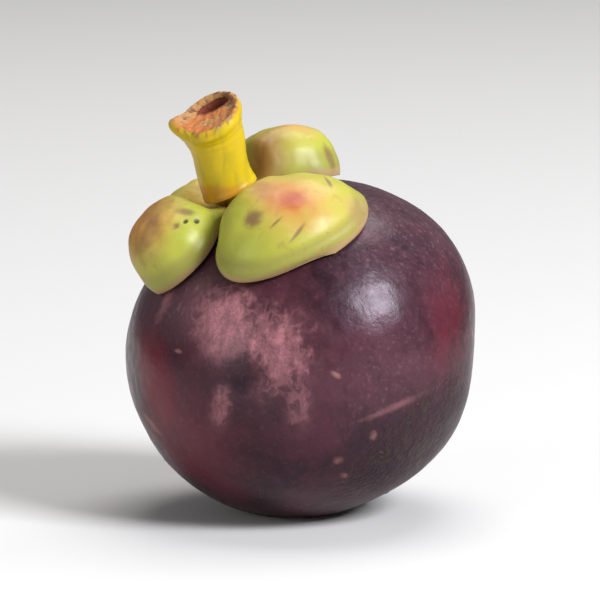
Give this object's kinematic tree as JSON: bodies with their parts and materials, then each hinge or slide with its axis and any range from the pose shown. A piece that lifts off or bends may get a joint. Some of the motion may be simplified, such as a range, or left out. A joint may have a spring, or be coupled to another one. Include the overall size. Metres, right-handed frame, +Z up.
{
  "type": "mangosteen",
  "caption": "Whole mangosteen fruit with a round purple rind, thick green calyx lobes and a stout broken stem, leaning on a small flat spot of its skin.",
  "frame": {"origin": "middle of the flat spot of the rind that the fruit rests on", "axes": "+Z up from the surface it rests on, -Y towards the viewer who sees the largest sepal in front, -X the side that the stem leans to"},
  "size_m": [0.0605, 0.0626, 0.0736],
  "materials": {
    "rind_skin": "waxy satin skin, dark purple with scuffs",
    "sepal_green": "smooth satin, yellow-green with a red blush",
    "stem_yellow": "satin green-yellow bark, corky where it broke",
    "stigma_brown": "dry and matte"
  },
  "bodies": {
    "root": {"rind": "rind_skin", "sepal_front_right": "sepal_green", "sepal_front_left": "sepal_green", "sepal_back_left": "sepal_green", "sepal_back_right": "sepal_green", "stem": "stem_yellow", "stigma_rosette": "stigma_brown"}
  },
  "joints": []
}
